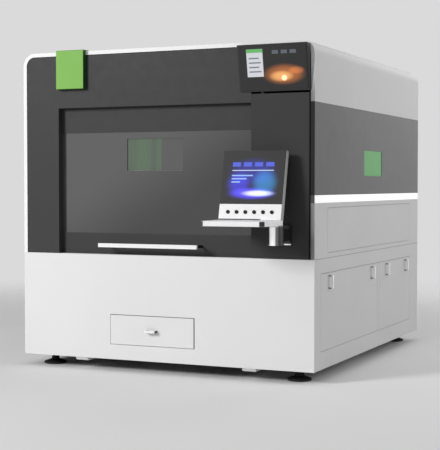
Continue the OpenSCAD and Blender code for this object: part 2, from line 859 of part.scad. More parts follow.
// Two box beams that carry the gantry's rails
module bed_beams() color("slategray") for (s = [-1, 1]) translate([door_off + s * beam_x, 0, 0])
  block(-beam_w / 2, beam_w / 2, bed_y0, bed_y1, frame_top, bed_z1);

// Section of a linear rail with its waist
module rail_section() polygon([
  [-rail_w / 2, 0], [rail_w / 2, 0], [rail_w / 2, rail_h * 0.35], [rail_w * 0.38, rail_h * 0.5],
  [rail_w / 2, rail_h * 0.68], [rail_w / 2, rail_h], [-rail_w / 2, rail_h],
  [-rail_w / 2, rail_h * 0.68], [-rail_w * 0.38, rail_h * 0.5], [-rail_w / 2, rail_h * 0.35]
]);

// Row of magnets on a backing strip, along X, for a linear motor
module magnet_track(l) {
  translate([0, -magnet_w / 2, 0]) cube([l, magnet_w, magnet_base]);
  for (x = [magnet_pitch / 2 : magnet_pitch : l - magnet_l])
    translate([x, magnet_edge - magnet_w / 2, magnet_base])
      cube([magnet_l, magnet_w - 2 * magnet_edge, magnet_t]);
}

// Two rails and two magnet tracks on the bed beams
module y_tracks() color("silver") for (s = [-1, 1])
  translate([door_off + s * beam_x, 0, bed_z1]) mirror([s > 0 ? 1 : 0, 0, 0]) {
    y0 = bed_y0 + rail_end;
    y1 = bed_y1 - rail_end;
    translate([rail_dx, 0, 0]) along_y(y0, y1) rail_section();
    translate([magnet_dx, y0, 0]) rotate([0, 0, 90]) magnet_track(y1 - y0);
  }

// Rim of the work table with the ledges that carry the slats
module table_frame() color("slategray") difference() {
  block(work_x0, work_x1, table_y, table_y1, table_z0, table_z0 + table_h);
  block(work_x0 + table_rim, work_x1 - table_rim, table_y + table_rim, table_y1 - table_rim,
        slat_z0, table_z0 + table_h + eps);
  block(work_x0 + table_rim + ledge_in, work_x1 - table_rim - ledge_in,
        table_y + table_rim, table_y1 - table_rim, table_z0 - eps, slat_z0 + eps);
}

// Side view of one slat with its row of teeth
module slat_outline(l) {
  pitch = l / tooth_n;
  polygon(concat(
    [[l, 0], [0, 0]],
    [for (i = [0 : tooth_n - 1]) each [
      [i * pitch, slat_h - tooth_h], [(i + 0.4) * pitch, slat_h], [(i + 0.6) * pitch, slat_h]
    ]],
    [[l, slat_h - tooth_h]]
  ));
}

module table_slats() color("gray") {
  l = work_x1 - work_x0 - 2 * table_rim - 2 * run_gap;
  for (i = [0 : slat_n - 1]) {
    y = table_y + table_rim + (i + 0.5) * slat_pitch;
    translate([work_x0 + table_rim + run_gap, 0, slat_z0])
      along_y(y - slat_t / 2, y + slat_t / 2) slat_outline(l);
  }
}

// Corners of a level rectangle given as [x0, x1, y0, y1]
function corners(r) = [[r[0], r[2]], [r[1], r[2]], [r[1], r[3]], [r[0], r[3]]];

// Strips along the front, rear, left and right edges of a rectangle, clear of each other
function edge_strips(r, w) = [
  [r[0], r[1], r[2], r[2] + w],
  [r[0], r[1], r[3] - w, r[3]],
  [r[0], r[0] + w, r[2] + w + run_gap, r[3] - w - run_gap],
  [r[1] - w, r[1], r[2] + w + run_gap, r[3] - w - run_gap]
];

// A plate that slopes from one level strip down to another
module sloping_plate(upper, upper_z, lower, lower_z) polyhedron(
  points = concat(
    [for (c = corners(lower)) [c.x, c.y, lower_z]],
    [for (c = corners(upper)) [c.x, c.y, upper_z]]
  ),
  faces = [[0, 1, 2, 3], [7, 6, 5, 4], [0, 4, 5, 1], [1, 5, 6, 2], [2, 6, 7, 3], [3, 7, 4, 0]]
);

// Funnel of four plates that drops the slag into the drawer, hung under the table by four flat bars
module slag_hopper() color("darkgray") {
  rim = [work_x0 + hop_edge, work_x1 - hop_edge, table_y + hop_edge, table_y1 - hop_edge];
  mouth = [work_x0 + hop_in, work_x1 - hop_in, table_y + hop_in, table_y1 - hop_in];
  outlet = [hop_x0, hop_x1, hop_y0, hop_y1];
  upper = edge_strips(mouth, hop_wall);
  lower = edge_strips(outlet, hop_wall);
  for (s = edge_strips(rim, hop_in - hop_edge + hop_wall)) block(s[0], s[1], s[2], s[3], hop_z1, table_z0);
  for (i = [0 : 3]) sloping_plate(upper[i], hop_z1 - run_gap, lower[i], hop_z0);
}

// Fiber laser source on the base frame's cross tubes, with cooling grooves down its outer side
module laser_source() color("whitesmoke") {
  groove_d = 4;
  groove_w = 24;
  groove_pitch = 36;
  groove_in = 40;
  y0 = cross_front - box_lap;
  y1 = cross_middle + tube_w + box_lap;
  difference() {
    block(laser_x0, laser_x1, y0, y1, floor_z, floor_z + laser_h);
    for (y = [y0 + 2 * groove_in : groove_pitch : y1 - 2 * groove_in])
      block(laser_x1 - groove_d, laser_x1 + eps, y, y + groove_w,
            floor_z + groove_in, floor_z + laser_h - groove_in);
  }
}

// Control cabinet on the cross tubes, with its door standing proud towards the side wall
module control_cabinet() color("whitesmoke") {
  y0 = cross_middle - box_lap;
  y1 = cross_rear_y + tube_w + box_lap;
  body_x0 = control_x0 + control_door_t;
  block(body_x0, control_x0 + control_w, y0, y1, floor_z, floor_z + control_h);
  block(control_x0, body_x0, y0 + control_edge, y1 - control_edge,
        floor_z + control_edge, floor_z + control_h - control_edge);
}

// Door frame with the opening and rebate for the smoked glass
module door_panel() color([0.27, 0.27, 0.28]) translate([door_off, 0, 0]) difference() {
  block(door_x0 - door_off, door_x1 - door_off, recess_d, door_back, door_z0, door_z1);
  block(-glass_x, glass_x, recess_d - eps, door_back + eps, glass_z0, glass_z1);
  block(-glass_x - pane_lap, glass_x + pane_lap, recess_d + sheet_t, door_back + eps,
        glass_z0 - pane_lap, glass_z1 + pane_lap);
}

// Smoked glass in the door's rebate, with the viewing window's opening
module door_glass() color([0.35, 0.35, 0.36]) translate([door_off, recess_d + sheet_t, 0]) difference() {
  half = glass_x + pane_lap - run_gap;
  block(-half, half, 0, glass_t, glass_z0 - pane_lap + run_gap, glass_z1 + pane_lap - run_gap);
  block(-view_w / 2, view_w / 2, -eps, glass_t + eps, view_z1 - view_h, view_z1);
}

// Green laser-safety pane behind the viewing window's opening
module door_window() color("mediumseagreen") translate([door_off, recess_d + sheet_t + glass_t, 0])
  block(-view_w / 2 - pane_lap, view_w / 2 + pane_lap, 0, pane_t,
        view_z1 - view_h - pane_lap, view_z1 + pane_lap);

// Long bar on two posts at the door's lower edge
module door_handle() color("white") translate([door_off, recess_d, z_base + bar_z]) {
  block(-bar_l / 2, bar_l / 2, -bar_reach - bar_d, -bar_reach, -bar_h / 2, bar_h / 2);
  for (s = [-1, 1]) translate([s * (bar_l / 2 - bar_post_d), 0, 0])
    rotate([90, 0, 0]) cylinder(h = bar_reach, d = bar_post_d);
}

// Four guide blocks on the door's back, each round its rail
module door_carriages() color("dimgray") for (s = [-1, 1]) for (z = guide_block_zs)
  translate([door_off + s * guide_x, 0, z]) difference() {
    block(-guide_w, guide_w, door_back, post_y - guide_gap, 0, guide_block);
    block(-guide_w / 2 - run_gap, guide_w / 2 + run_gap, post_y - guide_h - run_gap, post_y,
          -eps, guide_block + eps);
  }

// Open tray of the slag drawer
module drawer_tray() color("silver") difference() {
  block(drawer_x0 + tray_in, drawer_x1 - tray_in, front_t, front_t + drawer_d, tray_z0, tray_z0 + tray_h);
  block(drawer_x0 + tray_in + tray_wall, drawer_x1 - tray_in - tray_wall, front_t + tray_wall,
        front_t + drawer_d - tray_wall, tray_z0 + tray_wall, tray_z0 + tray_h + eps);
}

// Drawer front, flush with the front sheet
module drawer_front() color("white")
  block(drawer_x0, drawer_x1, 0, front_t, drawer_z0, drawer_z0 + drawer_h);

// Short bow handle in the middle of the drawer front
module drawer_handle() color("silver")
  translate([door_off - pull_l / 2, 0, drawer_z0 + drawer_h / 2 - bow_w / 2])
    linear_extrude(bow_w) rotate(-90) bow_outline(pull_l, pull_reach, bow_bar);

// Pin and flange that turn in the bracket's housing
module console_pivot() color("silver") translate([axis_x, axis_y, 0]) {
  pin_z0 = hub_z0 + hub_floor + pin_end;
  flange_z0 = hub_top + run_gap;
  translate([0, 0, flange_z0]) cylinder(h = flange_t, d = hub_d);
  translate([0, 0, pin_z0]) cylinder(h = flange_z0 - pin_z0, d = pivot_d - 2 * pin_gap);
}

// Keyboard tray: a sheet folded down all round, with chamfered front corners
module tray_outline(inset) {
  x0 = con_x0 + inset;
  x1 = con_x1 - inset;
  y0 = con_y0 + inset;
  y1 = con_y0 + con_tray_d - inset;
  c = con_chamfer - inset * 0.6;
  polygon([[x0 + c, y0], [x1 - c, y0], [x1, y0 + c], [x1, y1], [x0, y1], [x0, y0 + c]]);
}

module console_tray() color("white") difference() {
  translate([0, 0, con_top - con_edge]) linear_extrude(con_edge) tray_outline(0);
  difference() {
    translate([0, 0, con_top - con_edge - eps]) linear_extrude(con_edge + eps - sheet_t) tray_outline(sheet_t);
    translate([axis_x, axis_y, con_top - con_edge - eps]) cylinder(h = con_edge + eps, d = hub_d);
  }
}

// Frame on the tilted front of the screen housing: X across, Y into the housing, Z up the slope
module on_slab() translate([0, slab_y, con_top]) rotate([-slab_tilt, 0, 0]) children();

// Middle of a push button on the slope
function key_x(i) = key_x0 + (i - 1) * key_pitch;

// Tilted housing behind the screen and the button panel, standing on the tray
module console_housing() color("gainsboro") difference() {
  top = [slab_y + slab_l * sin(slab_tilt), con_top + slab_l * cos(slab_tilt)];
  skin = [cos(slab_tilt), -sin(slab_tilt)];
  front = screen_t + run_gap;
  along_x(con_x0, con_x1) polygon([
    [slab_y + front / cos(slab_tilt), con_top], top + front * skin,
    top + slab_t * skin, [slab_back, con_top]
  ]);
  on_slab() for (i = [1 : key_count]) translate([key_x(i), screen_t - eps, keys_l / 2])
    rotate([-90, 0, 0]) cylinder(h = key_pocket - screen_t + eps, d = key_hole_d);
}

module console_screen() color([0.2, 0.2, 0.22]) on_slab()
  block(con_x0, con_x1, 0, screen_t, keys_l + run_gap, slab_l);

// White panel under the screen with a hole for each push button
module button_panel() color("white") on_slab() difference() {
  foot = screen_t * tan(slab_tilt) + run_gap;
  block(con_x0, con_x1, 0, screen_t, foot, keys_l);
  for (i = [1 : key_count]) translate([key_x(i), -eps, keys_l / 2])
    rotate([-90, 0, 0]) cylinder(h = screen_t + 2 * eps, d = key_hole_d);
}

// Push button with a rounded rim
module push_button(i) color("black") on_slab() translate([key_x(i), key_depth, keys_l / 2]) rotate([90, 0, 0]) {
  l = key_depth + key_out;
  rotate_extrude() polygon([
    [0, 0], [key_d / 2, 0], [key_d / 2, l - key_round], [key_d / 2 - key_round, l], [0, l]
  ]);
}

// Hollow beam across the bed
module gantry_beam() color("lightsteelblue") difference() {
  block(gantry_x0, gantry_x1, gantry_y0, gantry_y1, truck_z1, gantry_z1);
  block(gantry_x0 - eps, gantry_x1 + eps, gantry_y0 + gantry_wall, gantry_y1 - gantry_wall,
        truck_z1 + gantry_wall, gantry_z1 - gantry_wall);
}

// Section of a bearing block, open round the rail
module block_section(w) difference() {
  translate([-w / 2, block_foot]) square([w, rail_h + block_rise - block_foot]);
  translate([-rail_w / 2 - run_gap, 0]) square([rail_w + 2 * run_gap, rail_h + run_gap]);
}

// A truck at each end of the beam: plate, two bearing blocks and the motor's coil
module gantry_trucks() color("steelblue") for (s = [-1, 1])
  translate([door_off + s * beam_x, gantry_mid - truck_l / 2, bed_z1]) mirror([s > 0 ? 1 : 0, 0, 0]) {
    block_l = 84;
    coil_in = 30;
    block(-beam_w / 2, beam_w / 2, 0, truck_l, block_top - bed_z1, truck_z1 - bed_z1);
    for (y = [0, truck_l - block_l]) translate([rail_dx, y, 0]) along_y(0, block_l) block_section(block_w);
    block(magnet_dx - magnet_w / 2, magnet_dx + magnet_w / 2, coil_in, truck_l - coil_in,
          coil_z0, block_top - bed_z1);
  }

// Two rails and a magnet track on the beam's front
module x_tracks() color("silver") translate([0, gantry_y0, 0]) {
  x0 = gantry_x0 + x_rail_end;
  x1 = gantry_x1 - x_rail_end;
  for (z = x_rail_zs) translate([0, 0, z]) rotate([90, 0, 0]) along_x(x0, x1) rail_section();
  translate([x0, 0, (x_rail_zs[0] + x_rail_zs[1]) / 2]) rotate([90, 0, 0]) magnet_track(x1 - x0);
}

// Plate that runs along the beam on four bearing blocks, with the motor's coil behind it
module carriage() color("steelblue") {
  block_l = 60;
  x0 = head_x - carriage_w / 2;
  x1 = head_x + carriage_w / 2;
  mid_z = (x_rail_zs[0] + x_rail_zs[1]) / 2;
  block(x0, x1, carriage_y0, carriage_y1, z_axis_z0, x_rail_zs[1] + plate_edge);
  for (z = x_rail_zs) for (x = [x0, x1 - block_l])
    translate([0, gantry_y0, z]) rotate([90, 0, 0]) along_x(x, x + block_l) block_section(x_block_w);
  block(x0, x1, carriage_y1, gantry_y0 - coil_z0, mid_z - magnet_w / 2, mid_z + magnet_w / 2);
}

// Lifting axis on the carriage, with its motor on top
module z_axis() color("dimgray") {
  axis_w = 100;
  motor_d = 44;
  motor_l = 90;
  cap_l = 6;
  block(head_x - axis_w / 2, head_x + axis_w / 2, z_axis_y0, carriage_y0, z_axis_z0, z_axis_z1);
  translate([head_x, carriage_y0 - motor_d / 2, z_axis_z1]) {
    cylinder(h = motor_l, d = motor_d);
    translate([0, 0, motor_l]) cylinder(h = cap_l, d = motor_d - cap_l);
  }
}

// Cutting head on the lifting axis: back plate, optics block, collimator and cone
module cutting_head() color("whitesmoke") translate([head_x, head_y, tip_z + nozzle_h]) {
  head_r = 30;
  slide_w = 90;
  slide_t = 12;
  optics_w = 76;
  cone_l = 150;
  optics_l = 170;
  slide_over = 20;
  tip_r = 10;
  tip_l = 6;
  taper_l = 52;
  collar_l = 60;
  collar_step = 4;
  collimator_d = 48;
  collimator_l = 70;
  plug_d = 30;
  plug_l = 36;
  block(-slide_w / 2, slide_w / 2, head_gap - slide_t, head_gap,
        cone_l - slide_over, cone_l + optics_l + slide_over / 2);
  block(-optics_w / 2, optics_w / 2, -head_r, head_gap - slide_t, cone_l, cone_l + optics_l);
  rotate_extrude() polygon([
    [0, 0], [tip_r, 0], [tip_r, tip_l], [head_r - collar_step, taper_l], [head_r, collar_l],
    [head_r, cone_l], [0, cone_l]
  ]);
  translate([0, 0, cone_l + optics_l]) {
    cylinder(h = collimator_l, d = collimator_d);
    translate([0, 0, collimator_l]) cylinder(h = plug_l, d = plug_d);
  }
}

// Copper nozzle under the head
module nozzle() color("peru") translate([head_x, head_y, tip_z]) {
  hole_r = 1;
  tip_r = 3;
  thread_r = 9;
  rotate_extrude() polygon([
    [hole_r, 0], [tip_r, 0], [thread_r, nozzle_h / 2], [thread_r, nozzle_h], [hole_r, nozzle_h]
  ]);
}

place() base_frame();
place() upper_frame();
place() skid_rails();
place() levelling_feet();
place() lower_front_panel();
place() lower_side_panels();
place() access_panels_right();
place() access_panels_left();
place() access_handles();
place() rear_lower_panel();
place() roof_shell();
place() side_band_right();
place() side_band_left();
place() side_windows();
place() light_strips();
place() mid_panels();
place() side_hatches();
place() rear_upper_panel();
place() exhaust_spigot();
place() front_fascia();
place() right_column();
place() corner_tab();
place() display_housing();
place() display_screen();
place() door_rails();
place() drawer_rails();
place() console_bracket();
place() bed_beams();
place() y_tracks();
place() table_frame();
place() table_slats();
place() slag_hopper();
place() laser_source();
place() control_cabinet();
place() door_panel();
place() door_glass();
place() door_window();
place() door_handle();
place() door_carriages();
place() drawer_tray();
place() drawer_front();
place() drawer_handle();
place() console_pivot();
place() console_tray();
place() console_housing();
place() console_screen();
place() button_panel();
for (i = [1 : key_count]) place() push_button(i);
place() gantry_beam();
place() gantry_trucks();
place() x_tracks();
place() carriage();
place() z_axis();
place() cutting_head();
place() nozzle();
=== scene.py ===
import json
import math

import bmesh
import bpy
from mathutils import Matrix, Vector


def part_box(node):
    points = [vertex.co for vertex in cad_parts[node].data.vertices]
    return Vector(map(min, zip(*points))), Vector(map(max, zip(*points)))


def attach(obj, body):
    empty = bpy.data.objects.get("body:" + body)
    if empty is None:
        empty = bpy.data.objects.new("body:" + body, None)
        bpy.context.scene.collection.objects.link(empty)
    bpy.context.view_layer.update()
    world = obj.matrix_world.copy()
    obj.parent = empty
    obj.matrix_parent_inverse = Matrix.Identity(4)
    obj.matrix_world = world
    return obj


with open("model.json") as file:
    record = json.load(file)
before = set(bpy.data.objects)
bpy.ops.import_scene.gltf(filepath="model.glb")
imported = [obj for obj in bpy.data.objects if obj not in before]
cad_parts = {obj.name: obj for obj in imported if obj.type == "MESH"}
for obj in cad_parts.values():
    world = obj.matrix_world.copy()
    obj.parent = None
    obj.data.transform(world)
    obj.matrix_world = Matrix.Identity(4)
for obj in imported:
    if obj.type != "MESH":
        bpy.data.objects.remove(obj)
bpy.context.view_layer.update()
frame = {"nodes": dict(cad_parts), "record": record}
nodes = frame["nodes"]

MM = 0.001


# Materials

NO_LIGHT = (0, 0, 0, 1)

# Places of a colour mix node's sockets
MIX_FACTOR = 0
MIX_FIRST = 6
MIX_SECOND = 7
MIX_RESULT = 2


def srgb(red, green, blue):
    """Linear colour of an 8-bit screen colour."""
    def linear(value):
        value /= 255
        return value / 12.92 if value <= 0.04045 else ((value + 0.055) / 1.055) ** 2.4
    return (linear(red), linear(green), linear(blue), 1.0)


def grey(level):
    return srgb(level, level, level)


class Shader:
    """A Principled material with short ways to add noise, masks, tint and bump."""

    def __init__(self, name, color, roughness, metallic=0.0, specular=0.5):
        self.material = bpy.data.materials.new(name)
        self.material.use_nodes = True
        self.tree = self.material.node_tree
        self.bsdf = self.tree.nodes["Principled BSDF"]
        self.coords = self.add("ShaderNodeTexCoord").outputs["Object"]
        self.set("Base Color", color)
        self.set("Roughness", roughness)
        self.set("Metallic", metallic)
        self.set("Specular IOR Level", specular)

    def add(self, kind, **settings):
        node = self.tree.nodes.new(kind)
        for name, value in settings.items():
            setattr(node, name, value)
        return node

    def set(self, socket, value):
        self.bsdf.inputs[socket].default_value = value

    def feed(self, source, socket):
        self.tree.links.new(source, self.bsdf.inputs[socket])

    def put(self, value, socket):
        """Links an output to a socket, or sets a constant there."""
        if hasattr(value, "is_output"):
            self.tree.links.new(value, socket)
        else:
            socket.default_value = value

    def stretched(self, stretch):
        """Object coordinates, stretched along the axes."""
        node = self.add("ShaderNodeMapping")
        node.inputs["Scale"].default_value = stretch
        self.tree.links.new(self.coords, node.inputs["Vector"])
        return node.outputs["Vector"]

    def noise(self, scale, detail=2.0, stretch=(1, 1, 1)):
        node = self.add("ShaderNodeTexNoise")
        node.inputs["Scale"].default_value = scale
        node.inputs["Detail"].default_value = detail
        self.tree.links.new(self.stretched(stretch), node.inputs["Vector"])
        return node.outputs["Fac"]

    def cells(self, scale):
        node = self.add("ShaderNodeTexVoronoi")
        node.inputs["Scale"].default_value = scale
        self.tree.links.new(self.coords, node.inputs["Vector"])
        return node.outputs["Distance"]

    def span(self, value, low, high, to_low=0.0, to_high=1.0, smooth=True):
        """A value brought from one range into another and kept within it, with soft ends if smooth."""
        node = self.add("ShaderNodeMapRange", clamp=True)
        node.interpolation_type = "SMOOTHSTEP" if smooth else "LINEAR"
        sockets = ("From Min", "From Max", "To Min", "To Max")
        for socket, number in zip(sockets, (low, high, to_low, to_high)):
            node.inputs[socket].default_value = number
        self.tree.links.new(value, node.inputs["Value"])
        return node.outputs["Result"]

    def between(self, value, low, high, blur):
        """1 from a low value to a high one, with soft ends."""
        rise = self.span(value, low - blur, low + blur)
        fall = self.span(value, high - blur, high + blur, 1.0, 0.0)
        return self.math("MULTIPLY", rise, fall)

    def math(self, operation, first, second=0.0):
        node = self.add("ShaderNodeMath", operation=operation)
        self.put(first, node.inputs[0])
        self.put(second, node.inputs[1])
        return node.outputs[0]

    def parts(self, vector):
        node = self.add("ShaderNodeSeparateXYZ")
        self.tree.links.new(vector, node.inputs[0])
        return node.outputs

    def normal_parts(self):
        """The parts of the surface's own direction in the object's axes."""
        turn = self.add("ShaderNodeVectorTransform", vector_type="NORMAL",
                        convert_from="WORLD", convert_to="OBJECT")
        self.tree.links.new(self.add("ShaderNodeNewGeometry").outputs["Normal"], turn.inputs[0])
        return self.parts(turn.outputs[0])

    def mix(self, fac, first, second, blend="MIX"):
        """A colour between two colours or colour sockets, or another blend of the two."""
        node = self.add("ShaderNodeMix", data_type="RGBA", blend_type=blend)
        self.put(fac, node.inputs[MIX_FACTOR])
        self.put(first, node.inputs[MIX_FIRST])
        self.put(second, node.inputs[MIX_SECOND])
        return node.outputs[MIX_RESULT]

    def tint(self, color, fac, spread):
        """A colour that the factor carries a little darker and lighter."""
        dark = [c * (1 - spread) for c in color[:3]] + [1.0]
        light = [min(1.0, c * (1 + spread)) for c in color[:3]] + [1.0]
        return self.mix(fac, dark, light)

    def bump(self, height, strength, distance, under=None):
        node = self.add("ShaderNodeBump")
        node.inputs["Strength"].default_value = strength
        node.inputs["Distance"].default_value = distance
        self.tree.links.new(height, node.inputs["Height"])
        if under is not None:
            self.tree.links.new(under, node.inputs["Normal"])
        return node.outputs["Normal"]


def paint(name, color, roughness=0.5, spread=0.025, specular=0.3, base=None):
    """Powder coat: fine orange peel, a faint cloud in the colour and smears in the gloss."""
    shader = Shader(name, color, roughness, specular=specular)
    shader.cloud = shader.span(shader.noise(1.6, 4.0), 0.3, 0.7)
    shader.feed(base(shader) if base else shader.tint(color, shader.cloud, spread), "Base Color")
    smear = shader.noise(16.0, 5.0)
    shader.feed(shader.span(smear, 0.3, 0.75, roughness - 0.02, roughness + 0.04), "Roughness")
    peel = shader.bump(shader.noise(650.0, 1.0), strength=0.12, distance=0.4 * MM)
    waves = shader.bump(shader.noise(90.0, 2.0), strength=0.05, distance=0.5 * MM, under=peel)
    shader.feed(waves, "Normal")
    return shader


def brushed(name, color, roughness, along):
    """Ground or brushed metal with fine lines along one axis."""
    shader = Shader(name, color, roughness, metallic=1.0)
    stretch = [3.0 if axis == along else 220.0 for axis in "xyz"]
    lines = shader.noise(4.0, 4.0, stretch)
    shader.feed(shader.tint(color, shader.noise(9.0, 4.0), 0.06), "Base Color")
    shader.feed(shader.span(lines, 0.25, 0.75, roughness - 0.08, roughness + 0.12), "Roughness")
    shader.feed(shader.bump(lines, strength=0.08, distance=0.2 * MM), "Normal")
    return shader


def polished(name, color, roughness, base=None):
    """Plated metal with faint wiping marks."""
    shader = Shader(name, color, roughness, metallic=1.0)
    wipe = shader.noise(12.0, 3.0)
    shader.feed(base(shader) if base else shader.tint(color, wipe, 0.03), "Base Color")
    shader.feed(shader.span(wipe, 0.35, 0.7, roughness, roughness + 0.04), "Roughness")
    return shader


def galvanised(name, color):
    """Zinc-coated sheet with its patchwork of crystals."""
    shader = Shader(name, color, 0.45, metallic=0.5)
    flakes = shader.cells(55.0)
    shader.feed(shader.tint(color, shader.span(flakes, 0.1, 0.7), 0.14), "Base Color")
    shader.feed(shader.span(flakes, 0.0, 0.8, 0.3, 0.5), "Roughness")
    return shader


def plastic(name, color, roughness, grain=0.15, specular=0.4):
    """Moulded plastic with a fine eroded grain."""
    shader = Shader(name, color, roughness, specular=specular)
    shader.feed(shader.tint(color, shader.noise(5.0, 3.0), 0.04), "Base Color")
    worn = shader.noise(40.0, 3.0)
    shader.feed(shader.span(worn, 0.3, 0.7, roughness - 0.05, roughness + 0.08), "Roughness")
    shader.feed(shader.bump(shader.noise(900.0, 2.0), strength=grain, distance=0.3 * MM), "Normal")
    return shader


def rubber(name, color):
    """Dull rubber, worn in spots."""
    shader = Shader(name, color, 0.75, specular=0.3)
    shader.feed(shader.tint(color, shader.noise(25.0, 5.0), 0.25), "Base Color")
    shader.feed(shader.bump(shader.noise(300.0, 4.0), strength=0.2, distance=0.6 * MM), "Normal")
    return shader


def scorched(name, color):
    """Slat steel, dulled by heat and specked with slag."""
    shader = Shader(name, color, 0.65, metallic=0.7)
    soot = shader.span(shader.noise(12.0, 6.0), 0.35, 0.65)
    rust = shader.mix(soot, color, RUST_BROWN)
    slag = shader.span(shader.cells(180.0), 0.0, 0.35, 1.0, 0.0)
    shader.feed(shader.mix(shader.math("MULTIPLY", slag, soot), rust, SLAG_GREY), "Base Color")
    shader.feed(shader.bump(slag, strength=0.5, distance=1.5 * MM), "Normal")
    return shader


def glazing(name, color, roughness, pattern):
    """Coated safety glass seen as a dense tint, with a clear gloss on top."""
    shader = Shader(name, color, roughness)
    tone = shader.tint(color, shader.span(shader.noise(1.2, 2.0), 0.3, 0.7), 0.06)
    shader.feed(pattern(shader, tone), "Base Color")
    smudge = shader.noise(14.0, 5.0)
    shader.feed(shader.span(smudge, 0.4, 0.8, roughness, roughness + 0.06), "Roughness")
    shader.set("Coat Weight", 0.6)
    shader.set("Coat Roughness", 0.03)
    return shader


# Colours, on the outside as the photograph shows them

WHITE = grey(236)
BRIGHT_WHITE = grey(252)
ROOF_WHITE = grey(234)
WALL_GREY = grey(201)
# Painted shade on the wall's fold at the right of the front, dark at the front and paler towards the
# wall
FOLD_SHADE = grey(124)
FOLD_HALF_SHADE = grey(150)
# Seams in the wall, and the painted shade on the side grips' legs
SEAM_AND_SHADE_GREY = grey(150)
BAND_GREY = grey(108)
BAND_PALE = grey(122)
# Painted shade on the band's fold at the front
BAND_FOLD_SHADE = grey(26)
# Painted shade on the strip's fold at the front
STRIP_FOLD_SHADE = grey(62)
DARK_GREY = grey(62)
# Painted shade and dark reflection: on the tray's chamfers, under the button panel, on the front grip
# and on the pivot housing
SHADE_GREY = grey(66)
# Painted shade on the right of the pivot housing
PIVOT_SHADE = grey(118)
BLACK = grey(14)
TAB_GREEN = srgb(136, 191, 95)
TAB_SHADE = srgb(44, 88, 38)
GLASS_DARK = grey(50)
# Painted reflection on the smoked glass
GLASS_REFLECTION = grey(84)
WINDOW_GREY = grey(82)
WINDOW_DIM = srgb(82, 94, 80)
WINDOW_LIT = srgb(84, 108, 84)
PANE_GREEN = srgb(92, 168, 96)
RUST_BROWN = srgb(90, 78, 68)
SLAG_GREY = grey(48)

# How far the cloud in a paint carries its colour darker and lighter
WHITE_CLOUD = 0.01
SHEET_CLOUD = 0.012
WALL_CLOUD = 0.02
DARK_CLOUD = 0.05

# Planes of the cabinet that the tones start from
front_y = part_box("front_fascia")[0].y
column_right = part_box("right_column")[1].x
wall_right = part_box("mid_panels")[1].x

# Widths and depths of folds, seams and lines, and of the painted shade, shadows and highlights
SKIN = 1.5 * MM
FOLD_SOFT = 4 * MM
SEAM = 4 * MM
COLUMN_LINE = 9 * MM
LINE_SOFT = 2 * MM
BAR_DEPTH = 18 * MM
POST_SOFT = 0.5 * MM
PANEL_SHADOW = 10 * MM
DRAWER_GAP_SHADE = 5 * MM
FOOT_HIGHLIGHT = 10 * MM
PLATE_DEPTH = 14 * MM
GRIP = 14 * MM
SPLIT_SOFT = 20 * MM

# Depths below the roof's crown: where its round edge, and the painted highlight over it, starts and
# ends, and where the fold's painted shade fades out
ROOF_ROUND = 0.085
ROOF_FLAT = 0.01
FOLD_FADE = (0.34, 0.10)

# Shares of a piece's width
PANEL_SHADOW_END = (0.66, 0.70)
WINDOW_SPLIT = 0.58

# How dark the painted shade of the gap over the drawer is, and how the smoked glass darkens to the right
# and downwards, away from its painted reflection at the upper left
DRAWER_TOP_SHADE = 0.6
GLASS_ACROSS = 0.55
GLASS_DOWN = 0.45
GLASS_FADE = (0.30, 0.72)

# Parts of a surface's direction, or their product, between which its painted shade and highlights change
CHAMFER_SHADE = (0.30, 0.42)
GRIP_PAINTED_LIGHT = (0.2, 0.6)
HUB_HIGHLIGHT = (-0.90, -0.75)
HUB_SHADE = (0.18, 0.30)


def front_mask(shader):
    """1 on what lies in the plane of the cabinet's front."""
    return shader.span(shader.parts(shader.coords)[1], front_y + SKIN, front_y + 2 * SKIN, 1.0, 0.0)


def fold_shade_mask(shader):
    """1 on the wall's narrow fold at the right of the front, which gets painted shade."""
    across = shader.span(shader.parts(shader.coords)[0], column_right - FOLD_SOFT, column_right)
    return shader.math("MULTIPLY", front_mask(shader), across)


def fold_painted_shade(shader):
    """Painted shade on the fold: dark grey, paler where it bends round to the wall."""
    across = shader.span(shader.parts(shader.coords)[0], column_right, wall_right)
    return shader.mix(across, FOLD_SHADE, FOLD_HALF_SHADE)


def roof_tone(shader):
    """Wall grey down the sides, going white over the round and on the top as a painted highlight of the
    light from above, a bright painted highlight on the front edge, and painted shade on the fold that
    fades out upwards.
    """
    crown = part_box("roof_shell")[1].z
    up = shader.parts(shader.coords)[2]
    # painted highlight: white over the round and on the top
    top = shader.span(up, crown - ROOF_ROUND, crown - ROOF_FLAT)
    wall = shader.tint(WALL_GREY, shader.cloud, WALL_CLOUD)
    upper = shader.mix(top, wall, shader.tint(ROOF_WHITE, shader.cloud, WHITE_CLOUD))
    # painted highlight along the front edge
    edge = shader.tint(BRIGHT_WHITE, shader.cloud, WHITE_CLOUD)
    upper = shader.mix(front_mask(shader), upper, edge)
    # painted shade on the fold, fading out upwards
    fade = shader.span(up, crown - FOLD_FADE[0], crown - FOLD_FADE[1], 1.0, 0.0)
    return shader.mix(shader.math("MULTIPLY", fold_shade_mask(shader), fade), upper, fold_painted_shade(shader))


def seam_mask(shader, up, level):
    """1 on a thin level line."""
    return shader.between(up, level - SEAM / 2, level + SEAM / 2, SEAM / 4)


